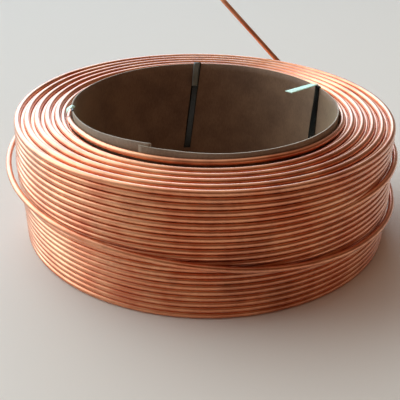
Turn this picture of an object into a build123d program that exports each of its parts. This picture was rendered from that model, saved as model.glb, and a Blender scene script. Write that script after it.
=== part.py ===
# Level wound coil of soft copper tube on a rolled board core, opened for use.
# Millimetres, +Z up. The origin is on the bore's axis, on the floor that the coil stands on.
# Azimuths are in degrees, counter-clockwise seen from above, and -Y is the front.
from build123d import *
from math import cos, degrees, radians, sin, sqrt, tan
import os

# The tube and the way it is wound
tube_od = 12.7
tube_wall = 0.8
rows = 21
row_pitch = 13.3
layers = 11
coil_bore = 609.6
row_valley = 4.2
low_land = 8.0

# The turn that has come off the coil, and its end
loose_gap = 0.3
loose_start_azimuth = 286.0
loose_start_share = 0.74
loose_first_azimuth = 314.0
loose_step = 24.0
# What each corner of the loose turn stands off the coil, and its height as a share of the coil's
loose_standoffs = [0, 0, 0, 1, 3, 6, 9, 12, 15, 17, 16, 12, 7, 2, 1, 2, 6, 12, 24]
loose_shares = [0.75, 0.74, 0.74, 0.74, 0.74, 0.73, 0.73, 0.72, 0.70, 0.67,
                0.63, 0.58, 0.53, 0.47, 0.40, 0.35, 0.34, 0.36, 0.45]
tail_root_standoff = 34.0
tail_root_azimuth = 47.4
tail_root_share = 0.59
tail_azimuth = 155.0
tail_slope = 40.4
tail_length = 420.0
tail_bore_depth = 60.0

# The board core inside the coil
board = 3.0
core_proud = 10.0
seam_azimuth = 248.0
seam_overlap = 30.0
seam_ramp = 14.0

# The cut straps that still hang over the core's rim
strap_width = 19.0
strap_thick = 0.7
strap_tuck = 24.0
strap_drop = 250.0
strap_azimuths = {"strap_back": 94.5, "strap_right": 25.0, "strap_left": 196.0}
back_strap_lean = 27.0

# What a piece keeps from the face that carries it
seat_gap = 0.3

# Radii and heights that follow from the sizes above
tube_radius = tube_od / 2
layer_pitch = sqrt(tube_od ** 2 - (row_pitch / 2) ** 2)
coil_bore_radius = coil_bore / 2
coil_radius = coil_bore_radius + tube_od + (layers - 1) * layer_pitch
coil_height = tube_od + (rows - 1) * row_pitch
core_height = coil_height + core_proud
core_radius = coil_bore_radius - seat_gap - 2 * board
core_outer = core_radius + board
overlap_outer = core_outer + board
overlap_swing = degrees(seam_overlap / overlap_outer)
ramp_swing = degrees(seam_ramp / overlap_outer)

os.makedirs("parts", exist_ok=True)


def around(radius, azimuth, height=0.0):
    """The point at this radius, azimuth and height."""
    return Vector(radius * cos(radians(azimuth)), radius * sin(radians(azimuth)), height)


def end_profile(side):
    """One end of the coil in the half plane of radius and height, from outside to inside.

    The layers nest half a pitch apart, so every second one stands half a pitch lower.
    """
    points = []
    for layer in range(0, layers, 2):
        middle = coil_radius - tube_radius - layer * layer_pitch
        foot = layer_pitch - low_land / 2
        if layer > 0:
            points.append((middle + foot, row_pitch / 2))
        points.append((middle, 0))
        if layer < layers - 1:
            points.append((middle - foot, row_pitch / 2))
    if side > 0:
        points = [(radius, coil_height - depth) for radius, depth in points]
    return points


def corner_radii(points):
    """For each inner corner of a route, the largest bend that its two runs have room for."""
    radii = []
    for before, corner, after in zip(points, points[1:], points[2:]):
        come, go = corner - before, after - corner
        half_turn = radians(come.get_angle(go) / 2)
        radii.append(0.45 * min(come.length, go.length) / tan(half_turn))
    return radii


# The route of the loose turn: out of the coil's side, once round it and up into the tail
stand = coil_radius + tube_radius + loose_gap
half_step = radians(loose_step / 2)
route_points = [around(coil_radius - 2 * tube_od, loose_start_azimuth, loose_start_share * coil_height)]
for number, (standoff, share) in enumerate(zip(loose_standoffs, loose_shares)):
    azimuth = loose_first_azimuth + number * loose_step
    route_points.append(around((stand + standoff) / cos(half_step), azimuth, share * coil_height))
tail_root = around(stand + tail_root_standoff, tail_root_azimuth, tail_root_share * coil_height)
tail_direction = (around(1, tail_azimuth) * cos(radians(tail_slope))
                  + Vector(0, 0, sin(radians(tail_slope))))
tail_end = tail_root + tail_direction * tail_length
route_points += [tail_root, tail_end]

with BuildPart() as copper_tube:
    with BuildSketch(Plane.XZ):
        with BuildLine():
            outside = []
            for row in range(rows):
                outside.append((coil_radius, tube_radius + row * row_pitch))
                if row < rows - 1:
                    outside.append((coil_radius - row_valley, tube_radius + (row + 0.5) * row_pitch))
            inside = [(coil_bore_radius, coil_height - tube_radius), (coil_bore_radius, tube_radius)]
            Polyline(*outside, *end_profile(1), *inside, *reversed(end_profile(-1)), close=True)
        make_face()
    revolve(axis=Axis.Z)
    with BuildLine() as route:
        FilletPolyline(*route_points, radius=corner_radii(route_points))
    with BuildSketch(Plane(origin=route.line @ 0, z_dir=route.line % 0)):
        Circle(tube_radius)
    sweep()
    with BuildSketch(Plane(origin=tail_end, z_dir=tail_direction)):
        Circle(tube_radius - tube_wall)
    extrude(amount=-tail_bore_depth, mode=Mode.SUBTRACT)

copper_tube.part.label = "copper_tube"
export_step(copper_tube.part, "parts/copper_tube.step")

# The core is one sheet of board rolled into a ring. Its free end lies on the bore's side, and the
# other end steps out over it, so the overlap touches the inmost turns and the bore stays round.
tip = seam_azimuth
ramp_end = seam_azimuth + ramp_swing
overlap_end = seam_azimuth - overlap_swing
with BuildPart() as core_sleeve:
    with BuildSketch():
        with BuildLine():
            Line(around(core_outer, overlap_end), around(overlap_outer, overlap_end))
            CenterArc((0, 0), overlap_outer, overlap_end, overlap_swing)
            Line(around(overlap_outer, tip), around(core_outer, ramp_end))
            CenterArc((0, 0), core_outer, ramp_end, 360 - ramp_swing - overlap_swing)
        make_face()
        with BuildLine():
            Line(around(core_radius, tip), around(core_outer, tip))
            Line(around(core_outer, tip), around(core_radius, ramp_end))
            CenterArc((0, 0), core_radius, ramp_end, 360 - ramp_swing)
        make_face(mode=Mode.SUBTRACT)
    extrude(amount=core_height)

core_sleeve.part.label = "core_sleeve"
export_step(core_sleeve.part, "parts/core_sleeve.step")

# Each strap hooks over the core's rim: a long leg down the bore's wall and a short one between
# the core and the copper. The hook is turned, then cut to the strap's width along its lean.
bore_face = core_radius - seat_gap
gap_face = core_outer + seat_gap
rim_face = core_height + seat_gap
hook = [(bore_face, rim_face - strap_drop), (bore_face, rim_face), (gap_face, rim_face),
        (gap_face, rim_face - strap_tuck), (gap_face + strap_thick, rim_face - strap_tuck),
        (gap_face + strap_thick, rim_face + strap_thick),
        (bore_face - strap_thick, rim_face + strap_thick),
        (bore_face - strap_thick, rim_face - strap_drop)]
for name, azimuth in strap_azimuths.items():
    lean = back_strap_lean if name == "strap_back" else 0
    blank = degrees((abs(lean) + 2 * strap_width) / core_radius)
    with BuildPart() as strap:
        with BuildSketch(Plane((0, 0, 0), x_dir=around(1, azimuth - blank), z_dir=around(1, azimuth - blank - 90))):
            with BuildLine():
                Polyline(*hook, close=True)
            make_face()
        revolve(axis=Axis.Z, revolution_arc=2 * blank)
        with BuildSketch(Plane((0, 0, 0), x_dir=around(1, azimuth + 90), z_dir=around(1, azimuth))):
            with BuildLine():
                Polyline((lean - strap_width / 2, rim_face - strap_drop),
                         (lean + strap_width / 2, rim_face - strap_drop),
                         (strap_width / 2, rim_face + strap_thick),
                         (-strap_width / 2, rim_face + strap_thick), close=True)
            make_face()
        extrude(amount=coil_bore_radius, mode=Mode.INTERSECT)
    strap.part.label = name
    export_step(strap.part, f"parts/{name}.step")
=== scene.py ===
# %% [markdown]
# # A coil of copper tube, wound turn by turn
#
# Soft copper tube leaves the factory as a level wound coil: layer on layer of turns on a rolled
# board core, each layer nested in the grooves of the one under it. This one is in use. Its outer
# turn has come loose, its end stands up behind it, and cut packing straps hang over the core.
#
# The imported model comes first. It gives the sizes, and everything made here stays in its box.

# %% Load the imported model
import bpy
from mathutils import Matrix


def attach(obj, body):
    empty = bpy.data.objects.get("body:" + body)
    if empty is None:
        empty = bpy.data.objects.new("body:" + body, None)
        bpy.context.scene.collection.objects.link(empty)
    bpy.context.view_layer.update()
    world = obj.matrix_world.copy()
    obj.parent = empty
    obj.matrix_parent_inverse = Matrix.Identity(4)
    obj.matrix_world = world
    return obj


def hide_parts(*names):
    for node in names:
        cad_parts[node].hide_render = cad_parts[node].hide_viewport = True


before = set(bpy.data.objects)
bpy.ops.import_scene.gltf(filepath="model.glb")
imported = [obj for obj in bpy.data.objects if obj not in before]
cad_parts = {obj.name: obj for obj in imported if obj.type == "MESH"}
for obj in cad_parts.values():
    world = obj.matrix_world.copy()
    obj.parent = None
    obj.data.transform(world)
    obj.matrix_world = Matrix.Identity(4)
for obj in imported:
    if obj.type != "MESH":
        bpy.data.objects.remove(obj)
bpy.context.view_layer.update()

import math
import bpy
import bmesh
import numpy as np
from mathutils import Matrix, Vector

# %% [markdown]
# ## The camera
#
# The photograph looks down on the coil from the front at 29 degrees, from about 1.6 m. The lens
# and the place were found by fitting ellipses: the coil's rims are circles on the real object, so
# their shape in the picture tells the height, the distance and the lens together.

# %% Camera
mm = 0.001
camera_place = (0, -1380.3 * mm, 786.5 * mm)
# Degrees: how far the view tilts down from level, and leans round its own axis
tilt_down = 28.98
lean = 1.257
camera_data = bpy.data.cameras.new("camera")
camera_data.lens = 56.93
camera_data.sensor_width = 36.0
camera_data.shift_x = -0.0079
camera_data.shift_y = 0.0062
camera_data.clip_start = 0.01
camera = bpy.data.objects.new("camera", camera_data)
bpy.context.scene.collection.objects.link(camera)
bpy.context.scene.camera = camera
camera.matrix_world = (Matrix.Translation(camera_place)
                       @ Matrix.Rotation(math.radians(90 - tilt_down), 4, "X")
                       @ Matrix.Rotation(math.radians(lean), 4, "Z"))
print("camera", [round(v, 3) for v in camera.location], "lens", camera_data.lens)

# %% [markdown]
# ## How the tube lies
#
# Half inch tube is 12.7 mm thick. On the side, 21 rows lie one above the other with a hair of air
# between them, and 11 layers nest: every second layer sits half a row up, in the grooves of its
# neighbours. The layer pitch is then not a free choice, it follows from the nesting triangle.

# %% Sizes of the winding
tube = 12.7 * mm
tube_radius = tube / 2
rows = 21
row_pitch = 13.3 * mm
layers = 11
bore_radius = 304.8 * mm
layer_pitch = math.sqrt(tube ** 2 - (row_pitch / 2) ** 2)
coil_height = tube + (rows - 1) * row_pitch
coil_radius = bore_radius + tube + (layers - 1) * layer_pitch


def layer_radius(layer):
    """Radius of a layer's tube centre; layer 0 is the outermost."""
    return coil_radius - tube_radius - layer * layer_pitch


def row_height(layer, row):
    """Height of a row's tube centre; odd layers sit half a row up and have one row less."""
    return tube_radius + (row + (layer % 2) / 2) * row_pitch


print("layer pitch %.2f mm, coil %.0f mm wide and %.0f mm high"
      % (layer_pitch / mm, 2 * coil_radius / mm, coil_height / mm))

# %% [markdown]
# ## A tube along a path
#
# Blender's curve bevel could make a tube, but it gives no length along the tube to paint by. So
# the path's points are worked out, and a ring of corners is set round each one. The rings are
# carried along without twisting. Each corner keeps its distance along and round the tube in a UV
# map, in metres, which the drawn lines and the tarnish of the copper use later.

# %% Sweep a tube
sides = 16


def add_tube(mesh, uv_layer, points, radius, closed=False, capped=(True, True), corners=sides):
    """Add a swept tube to a bmesh. A closed one is a ring; an open one may have end caps."""
    points = np.array(points)
    if closed:
        ahead = np.roll(points, -1, axis=0) - np.roll(points, 1, axis=0)
    else:
        ahead = np.gradient(points, axis=0)
    ahead /= np.linalg.norm(ahead, axis=1)[:, None]
    outward = np.cross(ahead, (0.0, 0.0, 1.0))
    outward /= np.linalg.norm(outward, axis=1)[:, None]
    upward = np.cross(outward, ahead)
    steps = np.linalg.norm(np.diff(points, axis=0, append=points[:1]), axis=1)
    along = np.concatenate([[0], np.cumsum(steps)])
    turn = np.arange(corners) * 2 * math.pi / corners
    rings = []
    for centre, side, rise in zip(points, outward, upward):
        places = centre + radius * (np.cos(turn)[:, None] * side + np.sin(turn)[:, None] * rise)
        rings.append([mesh.verts.new(place) for place in places])
    round_step = 2 * math.pi * radius / corners
    count = len(rings) if closed else len(rings) - 1
    for number in range(count):
        ring, after = rings[number], rings[(number + 1) % len(rings)]
        for corner in range(corners):
            following = (corner + 1) % corners
            face = mesh.faces.new((ring[corner], after[corner], after[following], ring[following]))
            face.smooth = True
            spots = ((number, corner), (number + 1, corner),
                     (number + 1, corner + 1), (number, corner + 1))
            for loop, (ring_number, corner_number) in zip(face.loops, spots):
                loop[uv_layer].uv = (along[ring_number], corner_number * round_step)
    if not closed and capped[0]:
        mesh.faces.new(rings[0])
    if not closed and capped[1]:
        mesh.faces.new(rings[-1][::-1])


# %% [markdown]
# A cut end shows the inside of the tube. A Boolean could bore it, but it would spoil the even
# faces. So the cap is left out, a narrower tube is set inside, and the two open edges are bridged,
# which makes the ring of cut metal. A finished piece is then tied to the model: it rides on the
# body "root", takes its finish from a slot, and stands for one of the model's nodes.

# %% Cut ends and finished pieces
wall = 0.8 * mm


def add_open_end(mesh, uv_layer, end, way, depth):
    """The inside of a cut end: a bore of the tube's inner radius, and the ring of cut metal."""
    bored = [end - way * reach for reach in (0, depth / 2, depth)]
    add_tube(mesh, uv_layer, bored, tube_radius - wall, capped=(False, True))
    bmesh.ops.bridge_loops(mesh, edges=[edge for edge in mesh.edges if edge.is_boundary])


def finish_piece(name, mesh, node):
    """Turn a bmesh into a piece that rides on the model and stands for a CAD node."""
    bmesh.ops.recalc_face_normals(mesh, faces=mesh.faces)
    data = bpy.data.meshes.new(name)
    mesh.to_mesh(data)
    mesh.free()
    piece = bpy.data.objects.new(name, data)
    bpy.context.scene.collection.objects.link(piece)
    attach(piece, "root")
    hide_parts(node)
    data.calc_loop_triangles()
    print(name, len(data.loop_triangles), "triangles")
    return piece


def tubes_piece(name, paths, closed=False, capped=(True, True), corners=sides, open_end=None):
    """One copper piece from paths of tube centres. An open end is a place, a way and a depth."""
    mesh = bmesh.new()
    uv_layer = mesh.loops.layers.uv.new("along_and_round")
    for points in paths:
        add_tube(mesh, uv_layer, points, tube_radius, closed, capped, corners)
    if open_end:
        add_open_end(mesh, uv_layer, *open_end)
    return finish_piece(name, mesh, "copper_tube")


# %% [markdown]
# ## Turns and crossovers
#
# A level wound turn isn't a helix. It lies flat for most of the way round, then steps over to the
# next row in a short crossover, and all crossovers sit one above the other at the back. So a
# stretch of tube is a list of stations: azimuth, radius and height, with an eased step between.
# Azimuths count in degrees, counter-clockwise seen from above, and the front is at 270.

# %% Places on the coil
# A crossover ends at this azimuth and takes this many degrees
crossover = 112.0
swing = 26.0
turn_steps = 192
azimuth_step = 360.0 / turn_steps
# The lowest tube centres; the tube stays a hair above the floor
floor_clear = tube_radius + 0.01 * mm
# Long waves of a turn: size in millimetres, waves in a turn, and shift from row to row
waves_out = ((0.22, 2, 2.4), (0.12, 5, 1.7))
waves_up = ((0.16, 3, 3.1), (0.10, 2, 1.3))


def on_turn(azimuth, radius, height):
    """The point at an azimuth in degrees, a radius and a height."""
    angle = math.radians(azimuth)
    return np.array((radius * math.cos(angle), radius * math.sin(angle), height))


def wander(azimuth, row):
    """How far a turn lies off its ideal place, outwards and upwards: tenths of a millimetre."""
    angle = math.radians(azimuth)
    return [sum(size * math.sin(count * angle + shift * row) for size, count, shift in waves) * mm
            for waves in (waves_out, waves_up)]


def eased(part):
    """A step from 0 to 1 that starts and ends gently."""
    part = min(max(part, 0), 1)
    return part * part * (3 - 2 * part)


print("a step along the outer turn is %.1f mm" % (math.radians(azimuth_step) * coil_radius / mm))

# %% [markdown]
# The outer layer isn't held by anything any more. It stands off the coil by up to 6.5 mm at the
# left, halfway up, and by up to 10.5 mm low at the right, which makes the coil's outline a little
# crooked. Moving each turn by hand would take long, so one function of the place does it for all.

# %% Slack of the outer layer
left_slack, left_azimuth, left_height, left_spread = 6.5 * mm, 198, 165 * mm, 55 * mm
# At the right it is full up to the height right_fade and gone after a further right_run
right_slack, right_azimuth, right_fade, right_run = 10.5 * mm, 352, 110 * mm, 120 * mm


def lobe(azimuth, middle, narrow):
    """1 at the middle azimuth and 0 opposite to it; a larger power makes it narrower."""
    return (0.5 + 0.5 * math.cos(math.radians(azimuth - middle))) ** narrow


def slack(azimuth, height):
    """How far the outer layer has come loose: at the left halfway up, at the right lower down."""
    left = lobe(azimuth, left_azimuth, 3) * math.exp(-((height - left_height) / left_spread) ** 2)
    right = lobe(azimuth, right_azimuth, 12) * (1 - eased((height - right_fade) / right_run))
    return left_slack * left + right_slack * right


print("slack 165 mm up: %.1f mm at the left, %.1f mm at the right"
      % (slack(left_azimuth, left_height) / mm, slack(right_azimuth, left_height) / mm))

# %% [markdown]
# Now a stretch of tube can be laid from station to station, and whole turns can be listed as
# stations. A turn that closes on itself, on the coil's ends, is simpler: it is one plain ring.

# %% Lay a stretch of tube


def laid(azimuth, start, end, part):
    """Where the tube lies at an azimuth, part of the way between two stations."""
    radius = start[1] + part * (end[1] - start[1])
    height = start[2] + part * (end[2] - start[2])
    # Only the outer layer is slack, and a tube that steps in from it is held again
    in_outer_layer = radius > layer_radius(1) + 2 * mm
    if in_outer_layer:
        radius += slack(azimuth, height)
    before = wander(azimuth, round(start[2] / row_pitch))
    after = wander(azimuth, round(end[2] / row_pitch))
    radius += (1 - part) * before[0] + part * after[0]
    height += (1 - part) * before[1] + part * after[1]
    return on_turn(azimuth, radius, max(height, floor_clear))


def wound(stations):
    """Tube centres along stations of (azimuth, radius, height), with a gentle step between them."""
    points = []
    for start, end in zip(stations, stations[1:]):
        steps = max(1, round((end[0] - start[0]) / azimuth_step))
        for step in range(steps):
            azimuth = start[0] + step / steps * (end[0] - start[0])
            points.append(laid(azimuth, start, end, eased(step / steps)))
    points.append(laid(stations[-1][0], stations[-1], stations[-1], 0))
    return points


def ring(layer, row):
    """Tube centres of one whole turn, closed on itself."""
    points = []
    for step in range(turn_steps):
        out, rise = wander(step * azimuth_step, row + 3 * layer)
        height = max(row_height(layer, row) + rise, floor_clear)
        points.append(on_turn(step * azimuth_step, layer_radius(layer) + out, height))
    return points


def turns_down(layer, first_row, last_row, start=crossover):
    """Stations of whole turns of one layer, from a row down to a lower one."""
    stations = []
    azimuth = start
    for row in range(first_row, last_row - 1, -1):
        stations.append((azimuth, layer_radius(layer), row_height(layer, row)))
        stations.append((azimuth + 360 - swing, layer_radius(layer), row_height(layer, row)))
        azimuth += 360
    return stations


print("a turn lies flat between azimuths", [station[0] for station in turns_down(0, 1, 1)])

# %% [markdown]
# ## The outer layer and the loose turn
#
# The last turns come down from the top rim to the seventh row. There the tube leaves the coil at
# the front right, goes once more round it and a third, bulging at the left, and rises behind it
# into the straight free end. Its place is known where the photograph shows it, and eased between.

# %% The loose turn's route
# The tube leaves this row at this azimuth, and its route is listed in steps from loose_first on
loose_row = 14
leaves_at = 301.0
loose_first = 314.0
loose_step = 24.0
# The radius of a turn that rests against the coil
resting = coil_radius + tube_radius + 0.3 * mm
# At every step: millimetres that the tube stands off the coil, and its share of the coil's height
loose_standoffs = [1.2, 1.6, 1.2, 1, 3, 6, 9, 12, 15, 16.9,
                   15.9, 12, 7, 2.5, 2, 4.6, 10.3, 13, 24]
loose_shares = [0.735, 0.743, 0.741, 0.739, 0.737, 0.734, 0.728, 0.718, 0.70, 0.67,
                0.63, 0.58, 0.53, 0.47, 0.40, 0.352, 0.34, 0.36, 0.45]


def smooth_value(values, place):
    """Value at a place along an evenly spaced list, on a curve through all of them."""
    number = min(int(place), len(values) - 2)
    part = place - number
    before = values[max(number - 1, 0)]
    start, end = values[number], values[number + 1]
    after = values[min(number + 2, len(values) - 1)]
    return 0.5 * (2 * start + (end - before) * part
                  + (2 * before - 5 * start + 4 * end - after) * part ** 2
                  + (3 * start - before - 3 * end + after) * part ** 3)


def loose_point(azimuth):
    """Centre of the loose turn at an azimuth that counts on past 360 degrees."""
    place = (azimuth - loose_first) / loose_step
    return on_turn(azimuth, resting + smooth_value(loose_standoffs, place) * mm,
                   smooth_value(loose_shares, place) * coil_height)


print("the loose turn stands off the coil by up to %.1f mm at the left" % max(loose_standoffs[:-1]))

# %% [markdown]
# The upper turns start one row below the coil's uppermost ring, where the tube steps out from the
# layer under them. Each following turn lies a row lower, until the tube lifts off the coil.

# %% Centres of the upper turns
# The step out takes one swing, from 0.6 of it before a crossover's end to 0.4 after
from_below = (crossover - 0.6 * swing, layer_radius(1), row_height(1, rows - 2))
upper = [from_below] + turns_down(0, rows - 2, loose_row, crossover + 0.4 * swing)
# The last of these turns ends early, where the tube leaves the coil
leaves_coil = (360 * (rows - 1 - loose_row) + leaves_at, layer_radius(0), row_height(0, loose_row))
upper[-1] = leaves_coil
centres = wound(upper)
print("upper turns:", len(centres), "tube centres")

# %% [markdown]
# Over 31 degrees the tube eases from its row to the loose turn's route. Then it follows that route
# round the coil, up to the place where the bend into the free end takes over.

# %% Centres of the loose turn
meets_azimuth = 332.0
lift_steps = 30
loose_last = loose_first + 17.6 * loose_step
meets = loose_point(meets_azimuth)
meets_radius = math.hypot(meets[0], meets[1])
for step in range(1, lift_steps):
    part = eased(step / lift_steps)
    azimuth = leaves_at + step / lift_steps * (meets_azimuth - leaves_at)
    leaves = laid(azimuth, leaves_coil, leaves_coil, 0)
    leaves_radius = math.hypot(leaves[0], leaves[1])
    centres.append(on_turn(azimuth, leaves_radius + part * (meets_radius - leaves_radius),
                           leaves[2] + part * (meets[2] - leaves[2])))
azimuth = meets_azimuth
while azimuth < loose_last:
    centres.append(loose_point(azimuth))
    azimuth += azimuth_step
print("with the loose turn:", len(centres), "tube centres")

# %% [markdown]
# The free end is straight, and soft tube bends into it in one even sweep. An arc would need its
# own plane and centre. A cubic curve needs neither: it leaves along the loose turn and arrives
# along the free end.

# %% The free end, and the piece
# The straight end's line: the place where it starts, its slope and the way that it points
tail_root = on_turn(47.4, 466.4 * mm, 164.4 * mm)
tail_slope = math.radians(40.4)
tail_way = on_turn(155.0, math.cos(tail_slope), math.sin(tail_slope))
tail_length = 419.9 * mm
tail_steps = 8
tail_bore = 60 * mm
bend_run = 110 * mm
bend_steps = 40
# A larger pull keeps the bend closer to the two straight ways at its ends
bend_pull = 1.25


def bend(start, start_way, end, end_way, steps):
    """Points on a smooth bend between two points with given ways, both ends left out."""
    points = []
    for step in range(1, steps):
        t = step / steps
        points.append((2 * t ** 3 - 3 * t ** 2 + 1) * start + (t ** 3 - 2 * t ** 2 + t) * start_way
                      + (3 * t ** 2 - 2 * t ** 3) * end + (t ** 3 - t ** 2) * end_way)
    return points


bend_start = centres[-1]
bend_way = (centres[-1] - centres[-2]) / np.linalg.norm(centres[-1] - centres[-2])
bend_end = tail_root + tail_way * bend_run
reach = bend_pull * np.linalg.norm(bend_end - bend_start)
centres += bend(bend_start, bend_way * reach, bend_end, tail_way * reach, bend_steps)
for step in range(tail_steps + 1):
    centres.append(bend_end + tail_way * (tail_length - bend_run) * step / tail_steps)
print("upper turns, loose turn and free end: %.1f m of tube"
      % np.sum(np.linalg.norm(np.diff(np.array(centres), axis=0), axis=1)))
loose_turn = tubes_piece("loose_turn", [centres], capped=(True, False),
                         open_end=(centres[-1], tail_way, tail_bore))

# %% [markdown]
# The rest of the layer starts hidden inside the coil, where the tube left it, and comes out to the
# layer's radius within 32 degrees. It goes down to the floor, where the last turn steps in to the
# layer under it.

# %% Lower turns of the outer layer
lower = [(leaves_at - 8, layer_radius(0) - 9 * mm, row_height(0, loose_row)),
         (leaves_at + 24, layer_radius(0), row_height(0, loose_row)),
         (crossover + 360 - swing, layer_radius(0), row_height(0, loose_row))]
lower += turns_down(0, loose_row - 1, 0, crossover + 360)
lower.append((lower[-1][0] + 0.8 * swing, layer_radius(1), row_height(1, 0)))
outer_turns = tubes_piece("outer_turns", [wound(lower)])

# %% [markdown]
# ## The turns that show on the ends
#
# The winding goes down one layer and up the next, and steps over between them below the last
# turns. So what shows on each end is 11 plain rings, every second one half a row further in. Only
# the turns that can be seen are made. The layer under the outer one shows in the fine gaps, and
# half as many corners do for it.

# %% Top and bottom turns, and the second layer
top_rings = [ring(layer, rows - 1 - layer % 2) for layer in range(layers - 1)]
top_turns = tubes_piece("top_turns", top_rings, closed=True)
bottom_rings = [ring(layer, 0) for layer in range(1, layers)]
bottom_turns = tubes_piece("bottom_turns", bottom_rings, closed=True)
second_rings = [ring(1, row) for row in range(1, rows - 2)]
second_layer = tubes_piece("second_layer_turns", second_rings, closed=True, corners=sides // 2)

# %% [markdown]
# ## The inner end
#
# Winding began at the core. The very first turn is free now: its cut end lies at the left, and at
# the front the turn has sprung up a little, so that a dark crescent opens between it and the rest.
# It is laid from stations like the others, and has three more turns under it.

# %% The innermost turns
inner = layers - 1
inner_radius = layer_radius(inner)
inner_top = row_height(inner, rows - 1)
inner_bore = 40 * mm
# Azimuth, radius and height of each station, from the cut end on
first_turn = [(197.0, inner_radius - 2.0 * mm, inner_top + 1.5 * mm),
              (218.0, inner_radius - 2.4 * mm, inner_top + 4.5 * mm),
              (252.0, inner_radius - 0.2 * mm, inner_top + 7.0 * mm),
              (290.0, inner_radius - 2.2 * mm, inner_top + 6.5 * mm),
              (318.0, inner_radius - 1.4 * mm, inner_top + 4.0 * mm),
              (350.0, inner_radius, inner_top),
              (crossover + 360 - swing, inner_radius, inner_top)]
first_turn += turns_down(inner, rows - 2, rows - 4, crossover + 360)
centres = wound(first_turn)
start_way = (centres[0] - centres[1]) / np.linalg.norm(centres[0] - centres[1])
inner_turns = tubes_piece("inner_turns", [centres], capped=(False, True),
                          open_end=(centres[0], start_way, inner_bore))

# %% [markdown]
# ## Sheets
#
# The board core and the plastic straps are sheets, bent but not stretched. Each is made as rows
# of points on its middle surface, and Blender's Solidify gives it its thickness and its edges. A
# UV map in metres across and along the sheet carries the emboss of the straps later.

# %% A sheet from rows of points


def add_sheet_uv(mesh, uv_layer, grid):
    """Write metres across and along the sheet into the UV map."""
    place = {}
    along = 0.0
    for number, row in enumerate(grid):
        if number:
            along += (row[0].co - grid[number - 1][0].co).length
        across = 0.0
        for left, vertex in enumerate(row):
            if left:
                across += (vertex.co - row[left - 1].co).length
            place[vertex] = (across, along)
    for face in mesh.faces:
        for loop in face.loops:
            loop[uv_layer].uv = place[loop.vert]


def sheet_piece(name, point_rows, thickness, node):
    """A sheet of even thickness from rows of points, with closed edges."""
    mesh = bmesh.new()
    uv_layer = mesh.loops.layers.uv.new("across_and_along")
    grid = [[mesh.verts.new(point) for point in row] for row in point_rows]
    for low, high in zip(grid, grid[1:]):
        for left in range(len(low) - 1):
            face = mesh.faces.new((low[left], low[left + 1], high[left + 1], high[left]))
            face.smooth = True
    add_sheet_uv(mesh, uv_layer, grid)
    piece = finish_piece(name, mesh, node)
    thicken = piece.modifiers.new("thickness", "SOLIDIFY")
    thicken.thickness = thickness
    thicken.offset = 0
    return piece


# %% [markdown]
# ## The board core
#
# The core is one sheet of solid board, rolled until its ends overlap. It was rolled a little
# askew, so its rim climbs and falls on the way round and its two ends don't quite line up. The
# cut edges are paler than the faces, because they show the pulp inside.

# %% Core sheet
board = 3.0 * mm
core_inside = 298.5 * mm
# Degrees: where the outer end lies, how far the ends overlap, and the run back to one layer
seam = 245.6
overlap = 4.6
seam_ramp = 9.0
lap_gap = 0.2 * mm
core_levels = 16
core_steps = 240
# The rim's height in millimetres at 12 even steps round, from the outer end to the inner one
rim_heights = [297.0, 292.6, 292.6, 291.5, 288.8, 287.6, 286.4,
               285.2, 284.0, 283.5, 288.5, 294.5, 303.0]


def rim_height(swept):
    """Height of the core's rim at an angle from the outer end at the seam."""
    return smooth_value(rim_heights, swept / (360 + overlap) * (len(rim_heights) - 1)) * mm


core_rows = []
for level in range(core_levels + 1):
    row = []
    for step in range(core_steps + 1):
        swept = (360 + overlap) * step / core_steps
        outer_lap = 1 - eased((swept - overlap) / seam_ramp)
        radius = core_inside + board / 2 + outer_lap * (board + lap_gap)
        row.append(on_turn(seam + swept, radius, rim_height(swept) * level / core_levels))
    core_rows.append(row)
core_board = sheet_piece("core_board", core_rows, board, "core_sleeve")

# %% [markdown]
# ## The cut straps
#
# Plastic straps held the coil for transport. They were cut, and their ends still hang over the
# core's rim. A strap is a flat band, 19 mm wide and under a millimetre thick, so each is a sheet:
# a path with a direction across it at every point, and then a thickness.

# %% A band and its path over the rim
strap_width = 19.0 * mm
strap_thick = 0.7 * mm
# The height of a leg's lower end, and how far a strap goes down behind the board
strap_low = 40 * mm
tuck = 24 * mm
# The middle of a strap lies this far off the board's faces
strap_off = 0.7 * mm
wall_face = core_inside - strap_off
gap_face = core_inside + board + strap_off
arch_foot = 1.0 * mm
# A leg that comes off the wall has done so when it is 1 / 1.8 of the way down
loosening = 1.8


def band(path, width=strap_width, parts=4):
    """Rows of points across a band from a path of (point, direction across)."""
    strip = []
    for point, across in path:
        across = np.array(across) / np.linalg.norm(across)
        shares = [part / parts - 0.5 for part in range(parts + 1)]
        strip.append([np.array(point) + across * width * share for share in shares])
    return strip


def rim_at(azimuth):
    """Height at which a strap starts to bend over the core's rim, just below it."""
    return rim_height((azimuth - seam) % 360) - arch_foot


def wall_leg(azimuths, heights, face, turned=0.0, off=0.0, steps=12):
    """A band's path down the core's wall. It may lean, and turn and come off the wall below."""
    path = []
    for step in range(steps + 1):
        part = step / steps
        azimuth = azimuths[0] + part * (azimuths[1] - azimuths[0])
        height = heights[0] + part * (heights[1] - heights[0])
        away = eased(loosening * part)
        path.append((on_turn(azimuth, face - off * away, height),
                     on_turn(azimuth + 90 + turned * away, 1.0, 0.0)))
    return path


def over_rim(azimuth, rim, arch, steps=8):
    """A band's path over the rim, from the bore's side to the side of the copper."""
    path = []
    middle = (wall_face + gap_face) / 2
    half = (gap_face - wall_face) / 2
    for step in range(1, steps):
        angle = math.pi * step / steps
        point = on_turn(azimuth, middle - half * math.cos(angle), rim + arch * math.sin(angle))
        path.append((point, on_turn(azimuth + 90, 1.0, 0.0)))
    return path


# %% [markdown]
# The straps hang at the back, the right and the left. The one at the back leans. The one at the
# right has twisted by 24 degrees and stands 4.5 mm off the wall, so that it shows its edge.

# %% Hooked straps


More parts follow.
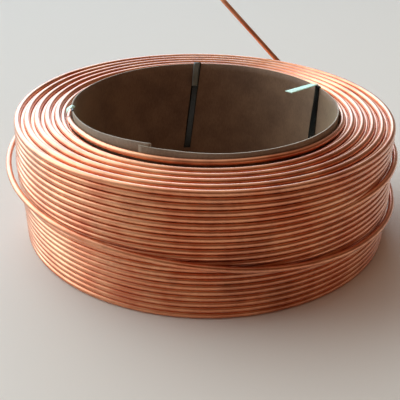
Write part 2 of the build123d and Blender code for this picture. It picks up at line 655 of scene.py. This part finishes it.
def hooked_strap(name, node, azimuths, arch, turned=0.0, off=0.0):
    """One cut strap: up the bore's wall, over the rim and a little way down behind the board."""
    azimuth = azimuths[0]
    rim = rim_at(azimuth)
    leg = wall_leg(azimuths, (rim, strap_low), wall_face, turned, off)
    end = wall_leg((azimuth, azimuth), (rim, rim - tuck), gap_face, steps=4)
    path = leg[::-1] + over_rim(azimuth, rim, arch) + end
    return sheet_piece(name, band(path), strap_thick, node)


strap_back = hooked_strap("strap_back_band", "strap_back", (94.5, 99.7), arch=2.8 * mm)
strap_right = hooked_strap("strap_right_band", "strap_right", (23.2, 21.6), arch=5.0 * mm,
                           turned=24.0, off=4.5 * mm)
strap_left = hooked_strap("strap_left_band", "strap_left", (195.0, 195.0), arch=2.8 * mm)

# %% [markdown]
# Each strap was cut close to the rim, and the other half of it is folded back. Its pale green at
# the right and the left and its grey at the back are painted reflections on the black strap. At the
# right it stands out into the bore with its flat side up. At the back it hangs down in front of the
# black leg, and at the left it lies crumpled on the innermost turns.

# %% Folded strap ends
back_fold_width = 17 * mm
left_fold_width = 15 * mm
right_rim, back_rim, left_rim = rim_at(24.6), rim_at(94.5), rim_at(195.0)


def fold(name, node, stations, width, steps=14):
    """A band through a few stations, each a point and the direction across the band there."""
    points, across = (np.array(values) for values in zip(*stations))
    path = []
    for step in range(steps + 1):
        place = step / steps * (len(stations) - 1)
        path.append((smooth_value(points, place), smooth_value(across, place)))
    return sheet_piece(name, band(path, width), strap_thick, node)


right_fold = fold("strap_right_fold", "strap_right", [
    (on_turn(24.6, wall_face - 2.5 * mm, right_rim + 6.5 * mm), (0.84, -0.55, 0.08)),
    ((0.2330, 0.1000, 0.2898), (0.81, -0.59, -0.02)),
    ((0.1990, 0.0800, 0.2860), (0.80, -0.60, -0.05)),
], strap_width)
back_fold = fold("strap_back_fold", "strap_back", [
    (on_turn(94.3, gap_face - 1.5 * mm, back_rim + 3.8 * mm), (-1.0, 0.0, 0.0)),
    (on_turn(94.9, wall_face - 3.0 * mm, back_rim + 2.0 * mm), (-0.95, -0.25, 0.0)),
    (on_turn(95.6, wall_face - 8.0 * mm, back_rim - 28 * mm), (-0.85, -0.45, 0.1)),
    (on_turn(96.1, wall_face - 10.0 * mm, back_rim - 57 * mm), (-0.85, -0.45, 0.1)),
], back_fold_width)
left_fold = fold("strap_left_fold", "strap_left", [
    (on_turn(193.5, wall_face - 1.5 * mm, left_rim + 0.5 * mm), (0.2, 1.0, 0.1)),
    (on_turn(193.5, 300.5 * mm, left_rim + 4.5 * mm), (0.15, 1.0, 0.15)),
    (on_turn(193.2, 306.0 * mm, left_rim + 1.5 * mm), (0.0, 1.0, 0.35)),
    (on_turn(193.0, 313.0 * mm, 282.0 * mm), (-0.2, 1.0, 0.45)),
], left_fold_width)

# %% [markdown]
# ## Small tools for the finishes
#
# A colour picked from a picture is an sRGB value, and Blender's nodes want it linear. The second
# tool adds one node with its settings, its colour stops and its links, so that a finish reads
# from top to bottom. A setting that is a node or an output becomes a link. Names are the sockets'
# identifiers, with underscores for the spaces: a Mix node has A_Float and A_Color, and the second
# Vector of a node is Vector_001.

# %% Colours and nodes


def colour(hex_value):
    """Linear colour from an sRGB hex value."""
    channels = [int(hex_value[i:i + 2], 16) / 255 for i in (1, 3, 5)]
    linear = [c / 12.92 if c <= 0.04045 else ((c + 0.055) / 1.055) ** 2.4 for c in channels]
    return (*linear, 1.0)


def add_node(tree, kind, stops=(), **settings):
    """Add a node with its settings and links, and the colour stops of a ramp."""
    node = tree.nodes.new(kind)
    sockets = {socket.identifier.replace(" ", "_"): socket for socket in node.inputs}
    for name, value in settings.items():
        if isinstance(value, bpy.types.Node):
            value = next(output for output in value.outputs if output.enabled)
        if isinstance(value, bpy.types.NodeSocket):
            tree.links.new(value, sockets[name])
        elif name in sockets:
            sockets[name].default_value = value
        else:
            setattr(node, name, value)
    if stops:
        ramp = node.color_ramp.elements
        ramp.remove(ramp[1])
        ramp[0].position, ramp[0].color = stops[0][0], colour(stops[0][1])
        for position, hex_value in stops[1:]:
            ramp.new(position).color = colour(hex_value)
    return node


def new_material(name):
    """A material with an empty node tree."""
    material = bpy.data.materials.new(name)
    material.use_nodes = True
    material.node_tree.nodes.clear()
    return material


# %% [markdown]
# ## Annealed copper
#
# The tube was drawn through dies and then annealed bright. Drawing leaves fine lines along it,
# annealing leaves a soft satin pink, and handling and air turn patches of it orange to brown.
# The patterns come first: patches on the coil as a whole, and lines along each turn.

# %% Copper: patterns
copper = new_material("annealed_drawn_copper")
tree = copper.node_tree
place = add_node(tree, "ShaderNodeTexCoord")
# Tarnish patches are about 80 mm across, the browner stains of hands and rain about 150 mm
tarnish = add_node(tree, "ShaderNodeTexNoise", Scale=12.0, Detail=5.0, Roughness=0.6,
                   Vector=place.outputs["Object"])
handled = add_node(tree, "ShaderNodeTexNoise", Scale=6.5, Detail=6.0, Roughness=0.7,
                   Vector=place.outputs["Object"])
# Draw lines are 0.3 mm apart, too fine to show, so they are drawn 1.5 mm apart and 200 mm long
stretch = add_node(tree, "ShaderNodeMapping", Scale=(5.0, 650.0, 1.0), Vector=place.outputs["UV"])
draw_lines = add_node(tree, "ShaderNodeTexNoise", Scale=1.0, Detail=2.0, Vector=stretch)
stain = add_node(tree, "ShaderNodeMix", data_type="FLOAT", Factor_Float=0.3,
                 A_Float=tarnish, B_Float=draw_lines)
print("patterns of", copper.name + ":", len(tree.nodes), "nodes")

# %% [markdown]
# Copper is a metal: its colour is in its reflection, so it is metallic 1. Annealed tube is satin,
# which a roughness from 0.30 to 0.42 gives, and the tarnished patches are more orange. A trace of
# drawing oil lies on it as a thin clear coat, which whitens the highlights. Oil has an IOR of
# about 1.5; 1.6 and a roughness of 0.22 for the coat matched the photograph's highlights.

# %% Copper: colour and surface
bright = add_node(tree, "ShaderNodeValToRGB", stops=((0.36, "#D57342"), (0.64, "#F2AA79")),
                  Fac=stain)
brown = add_node(tree, "ShaderNodeMapRange", From_Min=0.50, From_Max=0.68, To_Max=0.55,
                 Value=handled)
skin = add_node(tree, "ShaderNodeMix", data_type="RGBA", Factor_Float=brown, A_Color=bright,
                B_Color=colour("#9E4E2B"))
satin = add_node(tree, "ShaderNodeMapRange", From_Min=0.3, From_Max=0.7, To_Min=0.30, To_Max=0.42,
                 Value=stain)
relief = add_node(tree, "ShaderNodeBump", Strength=0.12, Distance=0.0004, Height=draw_lines)
shader = add_node(tree, "ShaderNodeBsdfPrincipled", Metallic=1.0, Coat_Weight=1.0, Coat_IOR=1.6,
                  Coat_Roughness=0.22, Base_Color=skin, Roughness=satin, Normal=relief)
add_node(tree, "ShaderNodeOutputMaterial", Surface=shader)
print(copper.name, len(tree.nodes), "nodes")
for piece in (loose_turn, outer_turns, top_turns, bottom_turns, second_layer, inner_turns):
    piece.data.materials.append(copper)

# %% [markdown]
# ## Solid board
#
# Brown solid board is pressed from many plies of waste pulp. Its face is dull and brown with
# short fibres and specks, and a fine fuzz on it catches the light where the face is seen edge on.
# A roughness of 0.7 and some sheen give that. The knife leaves an edge that is paler, with finer
# fibres. The outside face is a lighter copy of the inside's brown: painted light, standing in for
# the light on the core's outside. So one function makes the faces and the edge, each with its own
# colours and grain.

# %% Board
fuzz = colour("#E6E2BE")


def board_finish(name, dark, light, grain):
    """Pressed brown pulp with short fibres and broad cloudy patches."""
    material = new_material(name)
    tree = material.node_tree
    place = add_node(tree, "ShaderNodeTexCoord")
    # A grain of 330 gives fibres 3 mm wide and 9 mm high; patches are about 60 mm across
    upright = add_node(tree, "ShaderNodeMapping", Scale=(1.0, 1.0, 0.35),
                       Vector=place.outputs["Object"])
    fibres = add_node(tree, "ShaderNodeTexNoise", Scale=grain, Detail=6.0, Roughness=0.7,
                      Vector=upright)
    clouds = add_node(tree, "ShaderNodeTexNoise", Scale=16.0, Detail=3.0,
                      Vector=place.outputs["Object"])
    mottle = add_node(tree, "ShaderNodeMix", data_type="FLOAT", Factor_Float=0.5,
                      A_Float=fibres, B_Float=clouds)
    pulp = add_node(tree, "ShaderNodeValToRGB", stops=((0.38, dark), (0.62, light)), Fac=mottle)
    relief = add_node(tree, "ShaderNodeBump", Strength=0.25, Distance=0.0006, Height=fibres)
    shader = add_node(tree, "ShaderNodeBsdfPrincipled", Roughness=0.7, Sheen_Weight=0.4,
                      Sheen_Tint=fuzz, Base_Color=pulp, Normal=relief)
    add_node(tree, "ShaderNodeOutputMaterial", Surface=shader)
    print(name, len(tree.nodes), "nodes")
    return material


board_face = board_finish("pressed_board_inside", "#6C4B34", "#89664A", grain=330.0)
# The outside's lighter brown is painted light on the core's outside, not a different board
board_outside_painted_lighter = board_finish("pressed_board_outside", "#7E624A", "#9A7D62", grain=330.0)
board_edge = board_finish("cut_board_edge", "#9C8775", "#B8A592", grain=500.0)
for finish in (board_outside_painted_lighter, board_edge, board_face):
    core_board.data.materials.append(finish)
# The thickness shows the second finish on the cut edges and the third one on the bore's side
core_board.modifiers["thickness"].material_offset_rim = 1
core_board.modifiers["thickness"].material_offset = 2

# %% [markdown]
# ## Plastic strap
#
# Strap is extruded polyester, stretched to make it strong and embossed between rollers with small
# diamonds, so that it grips itself. It is smooth and glossy: polyester has an IOR of 1.57, and its
# roughness here is 0.22 to 0.35. These straps are black. The pale green on the folded halves and
# the dull grey on the one at the back are painted reflections of bright light on the glossy black
# strap.

# %% Strap


def strap_finish(name, dark, light, roughness):
    """Stretched and embossed polyester band."""
    material = new_material(name)
    tree = material.node_tree
    place = add_node(tree, "ShaderNodeTexCoord")
    # The emboss has 2 mm diamonds, drawn at 4 mm so that they show at all
    grooves = []
    for angle in (45, -45):
        slant = add_node(tree, "ShaderNodeMapping", Rotation=(0, 0, math.radians(angle)),
                         Vector=place.outputs["UV"])
        wave = add_node(tree, "ShaderNodeTexWave", Scale=80.0, Vector=slant)
        grooves.append(wave.outputs["Fac"])
    diamonds = add_node(tree, "ShaderNodeMath", operation="MULTIPLY",
                        Value=grooves[0], Value_001=grooves[1])
    # Noise: scuffs on the black strap, and streaks in the painted reflection on the folded ends
    scuffs_and_reflection_streaks = add_node(tree, "ShaderNodeTexNoise", Scale=40.0, Detail=5.0,
                      Vector=place.outputs["Object"])
    # On the black strap this ramp is its own colour; on the folded ends it is a painted reflection
    skin = add_node(tree, "ShaderNodeValToRGB", stops=((0.35, dark), (0.75, light)), Fac=scuffs_and_reflection_streaks)
    relief = add_node(tree, "ShaderNodeBump", Strength=0.2, Distance=0.0002, Height=diamonds)
    shader = add_node(tree, "ShaderNodeBsdfPrincipled", Roughness=roughness, IOR=1.57,
                      Base_Color=skin, Normal=relief)
    add_node(tree, "ShaderNodeOutputMaterial", Surface=shader)
    print(name, len(tree.nodes), "nodes")
    return material


black_strap = strap_finish("black_polyester_strap", "#0C100F", "#1C2422", roughness=0.22)
# Painted grey reflection on the black strap's fold at the back
strap_painted_grey_reflection = strap_finish("scuffed_back_of_the_strap", "#656A63", "#8E928A", roughness=0.35)
# Painted pale green reflection on the black strap's folds at the right and the left
strap_painted_pale_reflection = strap_finish("pale_green_polyester_strap", "#C8F8D4", "#E8FFE8", roughness=0.25)
for piece in (strap_back, strap_right, strap_left):
    piece.data.materials.append(black_strap)
back_fold.data.materials.append(strap_painted_grey_reflection)
for piece in (right_fold, left_fold):
    piece.data.materials.append(strap_painted_pale_reflection)

# %% [markdown]
# ## Floor
#
# The coil stands on a plain pale floor, matt and with no pattern, so one large square is enough.
# It is staged: it is there for the picture and is no part of the coil.

# %% Floor
floor_material = new_material("pale_floor")
tree = floor_material.node_tree
shader = add_node(tree, "ShaderNodeBsdfPrincipled", Base_Color=colour("#EBDFD1"), Roughness=0.8)
add_node(tree, "ShaderNodeOutputMaterial", Surface=shader)
mesh = bmesh.new()
bmesh.ops.create_grid(mesh, x_segments=1, y_segments=1, size=20.0)
floor_data = bpy.data.meshes.new("floor")
mesh.to_mesh(floor_data)
mesh.free()
floor_data.materials.append(floor_material)
floor = bpy.data.objects.new("floor", floor_data)
bpy.context.scene.collection.objects.link(floor)
print("floor", [round(v) for v in floor.dimensions[:2]], "m")

# %% [markdown]
# ## Lamp
#
# A wide area lamp high above fills the shadows on the coil's end. It gives little, because most
# of the light comes from the studio around, in the next step.

# %% Overhead lamp
lamp_place = Vector((0.2, 0.3, 3.2))
lamp_data = bpy.data.lights.new("overhead", "AREA")
lamp_data.shape = "RECTANGLE"
lamp_data.size = lamp_data.size_y = 3.6
lamp_data.energy = 12
lamp_data.color = colour("#FFF4E8")[:3]
lamp = bpy.data.objects.new("overhead", lamp_data)
lamp.location = lamp_place
lamp.rotation_euler = (-lamp_place).to_track_quat("-Z", "Y").to_euler()
lamp.visible_camera = False
bpy.context.scene.collection.objects.link(lamp)
print("lamp", lamp.name, lamp_data.energy, "W,", round(lamp_data.size, 2), "m wide")

# %% [markdown]
# ## The studio around
#
# The tubes are curved mirrors, so what they need is not more watts but something large and soft
# to reflect. So the main light is a wide bright patch with soft edges in the studio around, at
# the left, and the far side is dim and brown. A dot product tells how far a direction faces the
# patch, and a colour ramp turns that into the light from there. A picture of a real studio would
# do the same, but its light couldn't be matched colour by colour.

# %% Main light and far side
main_light_way = (-0.82, 0.46, 0.34)
world = bpy.data.worlds.new("studio")
bpy.context.scene.world = world
world.use_nodes = True
tree = world.node_tree
tree.nodes.clear()
place = add_node(tree, "ShaderNodeTexCoord")
facing = add_node(tree, "ShaderNodeVectorMath", operation="DOT_PRODUCT",
                  Vector=place.outputs["Generated"], Vector_001=main_light_way)
side = add_node(tree, "ShaderNodeMapRange", From_Min=-1.0, From_Max=1.0, Value=facing)
# The stops lie 107, 73, 47 and 33 degrees away from the middle of the patch
around = add_node(tree, "ShaderNodeValToRGB", Fac=side, stops=(
    (0.35, "#2E1C10"), (0.65, "#443C35"), (0.84, "#6A6E75"), (0.92, "#DDF0FC")))

# %% [markdown]
# Near the floor the studio's walls are as pale as the floor, all round: fully up to 2 degrees
# above level, and not at all from 12 degrees on. A second patch, small and low at the back, draws
# a fine bright line on every upper turn. It has faded out 19 degrees away from its middle.

# %% Walls and the small patch at the back
back_light_way = (-0.10, 0.90, 0.42)
parts = add_node(tree, "ShaderNodeSeparateXYZ", Vector=place.outputs["Generated"])
level = add_node(tree, "ShaderNodeMapRange", From_Min=0.03, From_Max=0.2,
                 Value=parts.outputs["Z"])
walls = add_node(tree, "ShaderNodeMix", data_type="RGBA", Factor_Float=level,
                 A_Color=colour("#696765"), B_Color=around)
behind = add_node(tree, "ShaderNodeVectorMath", operation="DOT_PRODUCT",
                  Vector=place.outputs["Generated"], Vector_001=back_light_way)
patch = add_node(tree, "ShaderNodeMapRange", From_Min=0.945, From_Max=0.98, Value=behind)
lit = add_node(tree, "ShaderNodeMix", data_type="RGBA", Factor_Float=patch, A_Color=walls,
               B_Color=colour("#BEDAF2"))
strength = add_node(tree, "ShaderNodeMapRange", To_Min=4.0, To_Max=4.8, Value=patch)
glow = add_node(tree, "ShaderNodeBackground", Color=lit, Strength=strength)
add_node(tree, "ShaderNodeOutputWorld", Surface=glow)
bpy.context.scene.view_settings.view_transform = "Standard"
print("studio around:", len(tree.nodes), "nodes")
